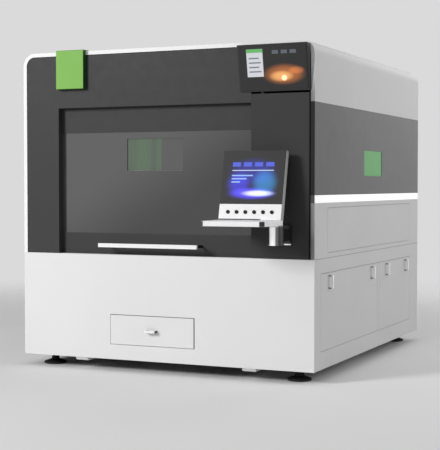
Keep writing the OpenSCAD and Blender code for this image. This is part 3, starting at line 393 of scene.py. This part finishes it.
def wall_tone(shader):
    """Wall grey with thin seams under the middle wall and along the hatches and access panels, and
    painted shade on the fold at the front.
    """
    across, along, up = shader.parts(shader.coords)
    side = shader.span(shader.math("ABSOLUTE", across), wall_right - 2 * SKIN, wall_right - SKIN)
    seam = seam_mask(shader, up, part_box("mid_panels")[0].z)
    for cover in ("access_panels_right", "side_hatches"):
        low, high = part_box(cover)
        length = shader.between(along, low.y, high.y, SEAM)
        for level in (low.z, high.z):
            line = shader.math("MULTIPLY", length, seam_mask(shader, up, level))
            seam = shader.math("MAXIMUM", seam, line)
    wall = shader.tint(WALL_GREY, shader.cloud, WALL_CLOUD)
    wall = shader.mix(shader.math("MULTIPLY", side, seam), wall, SEAM_AND_SHADE_GREY)
    # painted shade on the fold at the right of the front
    return shader.mix(fold_shade_mask(shader), wall, fold_painted_shade(shader))


def band_tone(shader):
    """A dark band that grows a little paler to the rear, with painted shade in near black on its fold at
    the front.
    """
    low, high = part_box("side_band_right")
    along = shader.span(shader.parts(shader.coords)[1], low.y, high.y, smooth=False)
    near = shader.tint(BAND_GREY, shader.cloud, WALL_CLOUD)
    band = shader.mix(along, near, shader.tint(BAND_PALE, shader.cloud, WALL_CLOUD))
    return shader.mix(fold_shade_mask(shader), band, BAND_FOLD_SHADE)


def strip_with_painted_glow(name, color, level):
    """Milky white plastic along the wall, with a painted glow though it holds no lamp, and painted shade
    on its fold at the front.
    """
    shader = plastic(name, color, roughness=0.4, grain=0.03)
    fold = fold_shade_mask(shader)
    patch = shader.tint(color, shader.noise(3.0, 2.0), 0.06)
    shader.feed(shader.mix(fold, patch, STRIP_FOLD_SHADE), "Base Color")
    # painted glow, with none on the shaded fold
    shader.feed(shader.mix(fold, patch, NO_LIGHT), "Emission Color")
    shader.set("Emission Strength", level)
    return shader


def column_tone(shader):
    """Dark paint with a black shadow line down the right edge."""
    start = column_right - COLUMN_LINE
    line = shader.span(shader.parts(shader.coords)[0], start, start + LINE_SOFT)
    return shader.mix(line, shader.tint(DARK_GREY, shader.cloud, DARK_CLOUD), BLACK)


def tab_tone(shader):
    """Bright green on the front, and painted shade in deep green round the edges."""
    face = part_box("corner_tab")[0].y
    front = shader.span(shader.parts(shader.coords)[1], face + SKIN, face + 2 * SKIN, 1.0, 0.0)
    return shader.mix(front, TAB_SHADE, shader.tint(TAB_GREEN, shader.cloud, WALL_CLOUD))


def bar_tone(shader):
    """A white bar on black posts."""
    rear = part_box("door_handle")[0].y + BAR_DEPTH
    post = shader.span(shader.parts(shader.coords)[1], rear, rear + POST_SOFT)
    return shader.mix(post, shader.tint(BRIGHT_WHITE, shader.cloud, WHITE_CLOUD), BLACK)


def tray_tone(shader):
    """White, with grey on the chamfers at the front corners: a painted reflection of the dark round
    about.
    """
    across, along, _ = shader.normal_parts()
    forward = shader.math("MULTIPLY", along, -1.0)
    slant = shader.math("MULTIPLY", shader.math("ABSOLUTE", across), forward)
    white = shader.tint(BRIGHT_WHITE, shader.cloud, WHITE_CLOUD)
    return shader.mix(shader.span(slant, *CHAMFER_SHADE), white, SHADE_GREY)


def panel_tone(shader):
    """White with a painted shadow line along the lower edge, to the left of the bracket."""
    low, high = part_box("button_panel")
    across, _, up = shader.parts(shader.coords)
    line = shader.span(up, low.z + PANEL_SHADOW / 2, low.z + PANEL_SHADOW, 1.0, 0.0)
    ends = [low.x + share * (high.x - low.x) for share in PANEL_SHADOW_END]
    left = shader.span(across, *ends, 1.0, 0.0)
    white = shader.tint(BRIGHT_WHITE, shader.cloud, WHITE_CLOUD)
    return shader.mix(shader.math("MULTIPLY", line, left), white, SHADE_GREY)


def drawer_tone(shader):
    """White, with painted shade of the gap along the top and down the right edge."""
    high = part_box("drawer_front")[1]
    across, _, up = shader.parts(shader.coords)
    right = shader.span(across, high.x - DRAWER_GAP_SHADE, high.x - DRAWER_GAP_SHADE / 2)
    top = shader.span(up, high.z - DRAWER_GAP_SHADE / 2, high.z, 0.0, DRAWER_TOP_SHADE)
    white = shader.tint(WHITE, shader.cloud, SHEET_CLOUD)
    return shader.mix(shader.math("MAXIMUM", right, top), white, BLACK)


def side_grip_tone(shader):
    """Bright grips, on legs in a grey that is painted shade."""
    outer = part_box("access_handles")[1].x
    away = shader.math("ABSOLUTE", shader.parts(shader.coords)[0])
    return shader.mix(shader.span(away, outer - GRIP, outer - GRIP / 2), SEAM_AND_SHADE_GREY, BRIGHT_WHITE)


def front_grip_tone(shader):
    """A painted highlight on the front and the top of the grip, painted shade underneath and at its
    ends.
    """
    _, along, up = shader.normal_parts()
    lit = shader.math("MAXIMUM", shader.math("MULTIPLY", along, -1.0), up)
    return shader.mix(shader.span(lit, *GRIP_PAINTED_LIGHT), SHADE_GREY, BRIGHT_WHITE)


def bracket_tone(shader):
    """A round housing with a painted highlight on its left and painted shade in grey on its right, and a
    plate in a painted dark reflection with a painted highlight on its foot.
    """
    low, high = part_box("console_bracket")
    _, along, up = shader.parts(shader.coords)
    plate = shader.span(along, high.y - PLATE_DEPTH, high.y - PLATE_DEPTH + SKIN)
    foot_highlight = shader.span(up, low.z + FOOT_HIGHLIGHT / 2, low.z + FOOT_HIGHLIGHT, 1.0, 0.0)
    dark = shader.mix(foot_highlight, DARK_GREY, BRIGHT_WHITE)
    # painted highlight on the housing's left, painted shade on its right
    turned = shader.normal_parts()[0]
    hub = shader.mix(shader.span(turned, *HUB_HIGHLIGHT), SHADE_GREY, BRIGHT_WHITE)
    hub = shader.mix(shader.span(turned, *HUB_SHADE), hub, PIVOT_SHADE)
    return shader.mix(plate, hub, dark)


def smoke_with_painted_reflection(shader, tone):
    """Smoked glass, with a painted reflection of the room that makes it paler to the upper left."""
    low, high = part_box("door_glass")
    place = shader.parts(shader.coords)
    across = shader.span(place[0], low.x, high.x, 0.0, GLASS_ACROSS, smooth=False)
    down = shader.span(place[2], low.z, high.z, GLASS_DOWN, 0.0, smooth=False)
    fade = shader.span(shader.math("ADD", across, down), *GLASS_FADE)
    return shader.mix(fade, shader.tint(GLASS_REFLECTION, shader.noise(1.2, 2.0), DARK_CLOUD), tone)


def viewing_stripes(shader, tone):
    """The bed seen dimly through the laser safety window: soft upright stripes, greener to the left."""
    low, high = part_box("door_window")
    across = shader.parts(shader.coords)[0]
    wave = shader.noise(1.0, 1.0, stretch=(30, 1, 0.5))
    lit = shader.mix(shader.span(wave, 0.4, 0.6), WINDOW_DIM, WINDOW_LIT)
    middle = low.x + WINDOW_SPLIT * (high.x - low.x)
    left = shader.span(across, middle, middle + SPLIT_SOFT, 1.0, 0.0)
    return shader.mix(left, tone, lit)


class Screen:
    """A lit picture on a flat anti-glare screen, made of soft glows and plain tiles.

    Their places and sizes are shares of the screen's width (u) and height (v).
    """

    def __init__(self, name, node, back):
        low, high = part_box(node)
        self.shader = Shader(name, back, 0.5, specular=0.12)
        place = self.shader.parts(self.shader.coords)
        self.u = self.shader.span(place[0], low.x, high.x, smooth=False)
        self.v = self.shader.span(place[2], low.z, high.z, smooth=False)
        grain = self.shader.noise(60.0, 2.0)
        self.shader.feed(self.shader.tint(back, grain, 0.08), "Base Color")
        self.light = NO_LIGHT

    def tile(self, u0, u1, v0, v1, color, blur=0.004):
        """A rectangle of one colour."""
        across = self.shader.between(self.u, u0, u1, blur)
        up = self.shader.between(self.v, v0, v1, blur)
        mask = self.shader.math("MULTIPLY", across, up)
        self.light = self.shader.mix(mask, self.light, color)

    def glow(self, u, v, wide, tall, color, power=1.0):
        """A soft oval of light, added to what is there."""
        across = self.shader.math("DIVIDE", self.shader.math("SUBTRACT", self.u, u), wide)
        up = self.shader.math("DIVIDE", self.shader.math("SUBTRACT", self.v, v), tall)
        square = self.shader.math("ADD", self.shader.math("MULTIPLY", across, across),
                                  self.shader.math("MULTIPLY", up, up))
        fac = self.shader.math("POWER", self.shader.span(square, 0.0, 1.0, 1.0, 0.0), power)
        oval = self.shader.mix(fac, NO_LIGHT, color)
        self.light = self.shader.mix(1.0, self.light, oval, blend="ADD")

    def done(self):
        """The finished material, with the picture as its own light."""
        self.shader.feed(self.light, "Emission Color")
        self.shader.set("Emission Strength", 1.0)
        return self.shader


def console_picture():
    """Violet and cyan lights over a bright oval, with a row of tiles and a short list of bars."""
    screen = Screen("console_picture", "console_screen", grey(58))
    screen.glow(0.50, 0.60, 0.50, 0.34, srgb(30, 34, 140), 2.2)
    screen.glow(0.70, 0.40, 0.28, 0.34, srgb(32, 120, 180), 2.4)
    screen.glow(0.28, 0.38, 0.26, 0.30, srgb(52, 46, 200), 2.4)
    screen.glow(0.50, 0.20, 0.46, 0.14, srgb(84, 70, 255), 1.6)
    screen.glow(0.60, 0.20, 0.34, 0.08, srgb(240, 246, 255), 2.0)
    for column in range(4):
        left = 0.16 + 0.18 * column
        screen.tile(left, left + 0.13, 0.70, 0.78, srgb(72, 92, 220))
    screen.tile(0.16, 0.83, 0.62, 0.635, srgb(210, 220, 255))
    for row in range(3):
        level = 0.40 + 0.06 * row
        screen.tile(0.16, 0.30 + 0.10 * row, level, level + 0.025, srgb(150, 190, 255))
    return screen.done()


def display_picture():
    """A pale page with a green heading, beside a warm glow under a row of grey tiles."""
    screen = Screen("display_picture", "display_screen", grey(56))
    screen.glow(0.66, 0.34, 0.34, 0.26, srgb(170, 96, 40))
    screen.glow(0.62, 0.30, 0.20, 0.14, srgb(190, 150, 90))
    screen.glow(0.84, 0.42, 0.14, 0.10, srgb(150, 84, 40))
    screen.glow(0.66, 0.26, 0.05, 0.08, srgb(255, 236, 200))
    screen.tile(0.12, 0.36, 0.30, 0.92, srgb(206, 208, 214))
    screen.tile(0.12, 0.36, 0.84, 0.92, srgb(96, 176, 96))
    for row in range(4):
        level = 0.40 + 0.10 * row
        screen.tile(0.15, 0.33 - 0.03 * (row % 2), level, level + 0.03, srgb(110, 116, 128))
    for column in range(3):
        left = 0.50 + 0.13 * column
        screen.tile(left, left + 0.09, 0.80, 0.88, srgb(84, 90, 100))
    return screen.done()


# One finish for each material slot of the record
finishes = {
    "frame_steel": paint("frame_steel", grey(58), roughness=0.55),
    "white_paint": paint("white_paint", WHITE, roughness=0.55, spread=SHEET_CLOUD, specular=0.2),
    "grey_paint": paint("grey_paint", WALL_GREY, roughness=0.6, specular=0.2, base=wall_tone),
    "dark_paint": paint("dark_paint", DARK_GREY, roughness=0.5, spread=DARK_CLOUD, specular=0.15),
    "band_paint": paint("band_paint", BAND_GREY, roughness=0.6, specular=0.2, base=band_tone),
    "light_strip": strip_with_painted_glow("light_strip", BRIGHT_WHITE, level=0.3),
    "green_plastic": paint("green_plastic", TAB_GREEN, roughness=0.45, specular=0.1, base=tab_tone),
    "green_glass": glazing("green_glass", WINDOW_GREY, roughness=0.08, pattern=viewing_stripes),
    "smoked_glass": glazing("smoked_glass", GLASS_DARK, roughness=0.05, pattern=smoke_with_painted_reflection),
    "black_plastic": plastic("black_plastic", BLACK, roughness=0.5, specular=0.12),
    "black_rubber": rubber("black_rubber", grey(26)),
    "housing_plastic": plastic("housing_plastic", grey(172), roughness=0.45),
    "bright_steel": polished("bright_steel", grey(206), roughness=0.26),
    "rail_steel": brushed("rail_steel", grey(176), roughness=0.28, along="y"),
    "sheet_steel": galvanised("sheet_steel", grey(168)),
    "slat_steel": scorched("slat_steel", grey(112)),
    "bed_paint": paint("bed_paint", grey(108), roughness=0.6, spread=DARK_CLOUD),
    "aluminium": brushed("aluminium", grey(196), roughness=0.34, along="x"),
    "copper": polished("copper", srgb(196, 124, 84), roughness=0.22),
}

# Nodes with a finish of their own
own_finish = {
    "roof_shell": paint("roof_paint", WHITE, roughness=0.6, specular=0.2, base=roof_tone),
    "right_column": paint("column_paint", DARK_GREY, roughness=0.5, specular=0.1, base=column_tone),
    "door_handle": paint("bar_paint", BRIGHT_WHITE, roughness=0.4, base=bar_tone),
    "console_tray": paint("tray_paint", BRIGHT_WHITE, roughness=0.45, base=tray_tone),
    "button_panel": paint("button_plate", BRIGHT_WHITE, roughness=0.45, base=panel_tone),
    "drawer_front": paint("drawer_paint", WHITE, roughness=0.55, specular=0.2, base=drawer_tone),
    "access_handles": paint("side_grip", BRIGHT_WHITE, roughness=0.3, base=side_grip_tone),
    "drawer_handle": paint("front_grip", BRIGHT_WHITE, roughness=0.3, base=front_grip_tone),
    "console_bracket": polished("bracket_plate", BRIGHT_WHITE, roughness=0.3, base=bracket_tone),
    "side_windows": paint("side_pane", PANE_GREEN, roughness=0.35, specular=0.25),
    "console_screen": console_picture(),
    "display_screen": display_picture(),
}


# Edges of the CAD solids

SHEET_EDGE = 0.8 * MM

# Widths of the rounds that differ from a sheet's, with 0 for edges that stay sharp
EDGES = {
    "corner_tab": 2 * MM,
    "display_housing": 3 * MM,
    "console_housing": 3 * MM,
    "console_tray": 1.5 * MM,
    "door_handle": 2.5 * MM,
    "drawer_front": 1.5 * MM,
    "display_screen": 0.5 * MM,
    "console_screen": 0.5 * MM,
    "table_slats": 0.0,
    "door_window": 0.0,
}
EDGE_ANGLE = math.radians(35)
EDGE_SEGMENTS = 2
WELD_DISTANCE = 0.01 * MM


def soften(solid, width):
    """Breaks a solid's sharp edges with a small round, as a folded, moulded or machined edge has."""
    mesh = solid.data
    lost = mesh.attributes.get("custom_normal")
    if lost:
        mesh.attributes.remove(lost)
    mesh.shade_smooth()
    weld = solid.modifiers.new("weld", "WELD")
    weld.merge_threshold = WELD_DISTANCE
    bevel = solid.modifiers.new("edge", "BEVEL")
    bevel.limit_method = "ANGLE"
    bevel.angle_limit = EDGE_ANGLE
    bevel.width = width
    bevel.segments = EDGE_SEGMENTS
    bevel.use_clamp_overlap = True
    weighted = solid.modifiers.new("shade", "WEIGHTED_NORMAL")
    weighted.keep_sharp = False


slot_of_node = {part["node"]: part["material_slot"] for part in frame["record"]["subparts"]}

for name, solid in nodes.items():
    finish = own_finish.get(name) or finishes[slot_of_node[name]]
    solid.data.materials.clear()
    solid.data.materials.append(finish.material)
    edge = EDGES.get(name, SHEET_EDGE)
    if edge:
        soften(solid, edge)


# New objects

def mesh_object(name, shape, finish):
    """A new object made of a finished bmesh, with one material."""
    mesh = bpy.data.meshes.new(name)
    shape.to_mesh(mesh)
    shape.free()
    mesh.materials.append(finish.material)
    thing = bpy.data.objects.new(name, mesh)
    bpy.context.collection.objects.link(thing)
    return thing


# Screws on the rear

SCREW_SIDES = 18
SCREW_RADIUS = 6 * MM
SCREW_HEIGHT = 3.5 * MM
SOCKET_RADIUS = 2.6 * MM
SOCKET_DEPTH = 2.2 * MM

# A button head's outline, as shares of its radius and height
SCREW_DOME = [(1.0, 0.0), (1.0, 0.35), (0.92, 0.7), (0.72, 0.95), (0.55, 1.0)]


def screw_rings():
    """Radius at an angle and height of each ring, from the rim to the floor of the hex socket."""
    def hexagon(angle):
        return SOCKET_RADIUS / math.cos((angle % (math.pi / 3)) - math.pi / 6)

    rings = [(lambda angle, r=r: r * SCREW_RADIUS, h * SCREW_HEIGHT) for r, h in SCREW_DOME]
    return rings + [(hexagon, SCREW_HEIGHT), (hexagon, SCREW_HEIGHT - SOCKET_DEPTH)]


def screws(name, body, places):
    """A row of button-head screws that face the rear."""
    shape = bmesh.new()
    for place in places:
        loops = []
        for radius, height in screw_rings():
            ring = []
            for step in range(SCREW_SIDES):
                angle = 2 * math.pi * step / SCREW_SIDES
                reach = radius(angle)
                offset = Vector((reach * math.cos(angle), height, reach * math.sin(angle)))
                ring.append(shape.verts.new(Vector(place) + offset))
            loops.append(ring)
        for lower, upper in zip(loops, loops[1:]):
            for step in range(SCREW_SIDES):
                after = (step + 1) % SCREW_SIDES
                shape.faces.new((lower[step], upper[step], upper[after], lower[after]))
        shape.faces.new(reversed(loops[0]))
        shape.faces.new(loops[-1])
    bmesh.ops.recalc_face_normals(shape, faces=shape.faces)
    row = mesh_object(name, shape, finishes["rail_steel"])
    row.data.shade_smooth()
    row.data.set_sharp_from_angle(angle=EDGE_ANGLE)
    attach(row, body)


def even(low, high, count):
    """Evenly spaced values from a low one to a high one."""
    return [low + (high - low) * step / (count - 1) for step in range(count)]


def rear_screws(name, node, columns, levels, inset):
    """Screws round the rim of a rear sheet."""
    low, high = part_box(node)
    xs = even(low.x + inset, high.x - inset, columns)
    zs = even(low.z + inset, high.z - inset, levels)
    rim = [(x, high.y, z) for x in xs for z in (zs[0], zs[-1])]
    rim += [(x, high.y, z) for z in zs[1:-1] for x in (xs[0], xs[-1])]
    screws(name, "cabinet", rim)


FLANGE_SCREWS = 8
FLANGE_THICK = 4 * MM
FLANGE_EDGE = 14 * MM


def flange_screws():
    """Screws round the fume duct's flange."""
    low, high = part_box("exhaust_spigot")
    middle = (low + high) / 2
    reach = (high.x - low.x) / 2 - FLANGE_EDGE
    face = low.y + FLANGE_THICK
    turns = [2 * math.pi * (i + 0.5) / FLANGE_SCREWS for i in range(FLANGE_SCREWS)]
    places = [(middle.x + reach * math.cos(t), face, middle.z + reach * math.sin(t)) for t in turns]
    screws("flange_screws", "cabinet", places)


rear_screws("rear_lower_screws", "rear_lower_panel", columns=5, levels=3, inset=18 * MM)
rear_screws("rear_upper_screws", "rear_upper_panel", columns=5, levels=4, inset=40 * MM)
flange_screws()


# Floor, light and camera

FLOOR_WHITE = grey(242)
FLOOR_RADIUS = 9.0
FLOOR_SIDES = 96
FLOOR_FADE = (2.6, 7.5)

# The backdrop's strength as light, in reflections and as the camera sees it
AMBIENT = 0.27
MIRRORED = 0.84
BACKDROP = 0.70


def floor():
    """A pale studio floor that fades into the backdrop."""
    shape = bmesh.new()
    bmesh.ops.create_circle(shape, cap_ends=True, radius=FLOOR_RADIUS, segments=FLOOR_SIDES)
    shader = Shader("floor", FLOOR_WHITE, roughness=0.9, specular=0.1)
    place = shader.parts(shader.coords)
    across = shader.math("MULTIPLY", place[0], place[0])
    along = shader.math("MULTIPLY", place[1], place[1])
    away = shader.math("SQRT", shader.math("ADD", across, along))
    shader.feed(shader.span(away, *FLOOR_FADE, 1.0, 0.0), "Alpha")
    plane = mesh_object("floor", shape, shader)


def backdrop():
    """Soft light from all round, seen as pale grey by the camera and brighter in reflections."""
    world = bpy.data.worlds.new("studio")
    world.use_nodes = True
    tree = world.node_tree
    background = tree.nodes["Background"]
    background.inputs["Color"].default_value = (1, 1, 1, 1)
    path = tree.nodes.new("ShaderNodeLightPath")
    mirrored = tree.nodes.new("ShaderNodeMath")
    mirrored.operation = "MAXIMUM"
    tree.links.new(path.outputs["Is Glossy Ray"], mirrored.inputs[0])
    tree.links.new(path.outputs["Is Transmission Ray"], mirrored.inputs[1])
    around = tree.nodes.new("ShaderNodeMapRange")
    around.inputs["To Min"].default_value = AMBIENT
    around.inputs["To Max"].default_value = MIRRORED
    tree.links.new(mirrored.outputs[0], around.inputs["Value"])
    level = tree.nodes.new("ShaderNodeMix")
    level.inputs["B"].default_value = BACKDROP
    tree.links.new(path.outputs["Is Camera Ray"], level.inputs["Factor"])
    tree.links.new(around.outputs["Result"], level.inputs["A"])
    tree.links.new(level.outputs["Result"], background.inputs["Strength"])
    bpy.context.scene.world = world


def lamp(name, power, size, place, aim):
    """A square soft box."""
    light = bpy.data.lights.new(name, "AREA")
    light.energy = power
    light.size = size
    box = bpy.data.objects.new(name, light)
    box.location = place
    box.rotation_euler = (Vector(aim) - Vector(place)).to_track_quat("-Z", "Y").to_euler()
    box.visible_camera = False
    bpy.context.collection.objects.link(box)


def flag(name, across, along, up):
    """A black card that only reflections see, to give bright metal its dark side."""
    shape = bmesh.new()
    corners = [(across, along[0], up[0]), (across, along[1], up[0]),
               (across, along[1], up[1]), (across, along[0], up[1])]
    shape.faces.new([shape.verts.new(corner) for corner in corners])
    card = mesh_object(name, shape, Shader(name, grey(10), roughness=1.0, specular=0.0))
    card.visible_camera = False
    card.visible_diffuse = False
    card.visible_shadow = False
    card.visible_transmission = False


CAMERA_PLACE = (3.464, -7.735, 1.206)
CAMERA_TURN = math.radians(24.4)
CAMERA_TILT = math.radians(1.93)
FOCAL_PIXELS = 1193.35
LONG_SIDE_PIXELS = 450
SENSOR_MM = 36.0


def camera():
    """The photograph's viewpoint: a long lens at chest height, to the right of the front."""
    lens = bpy.data.cameras.new("camera")
    lens.sensor_width = SENSOR_MM
    lens.lens = FOCAL_PIXELS / LONG_SIDE_PIXELS * SENSOR_MM
    eye = bpy.data.objects.new("camera", lens)
    back = Vector((math.sin(CAMERA_TURN) * math.cos(CAMERA_TILT),
                   -math.cos(CAMERA_TURN) * math.cos(CAMERA_TILT), math.sin(CAMERA_TILT)))
    eye.location = CAMERA_PLACE
    eye.rotation_euler = (-back).to_track_quat("-Z", "Y").to_euler()
    bpy.context.collection.objects.link(eye)
    bpy.context.scene.camera = eye


floor()
backdrop()
lamp("key", power=590, size=2.6, place=(-4.8, -8.5, 4.6), aim=(0, -1, 1.1))
lamp("fill", power=113, size=4, place=(5.8, 0.9, 2.6), aim=(1, 0.9, 1.0))
lamp("top", power=10, size=4, place=(0, 0, 5.5), aim=(0, 0, 2))
lamp("rear", power=75, size=3, place=(2.0, 6.5, 3.5), aim=(0, 1.3, 1.1))
flag("right_flag", across=5.0, along=(-4.5, 4.5), up=(0.0, 3.0))
camera()
bpy.context.scene.view_settings.view_transform = "Standard"
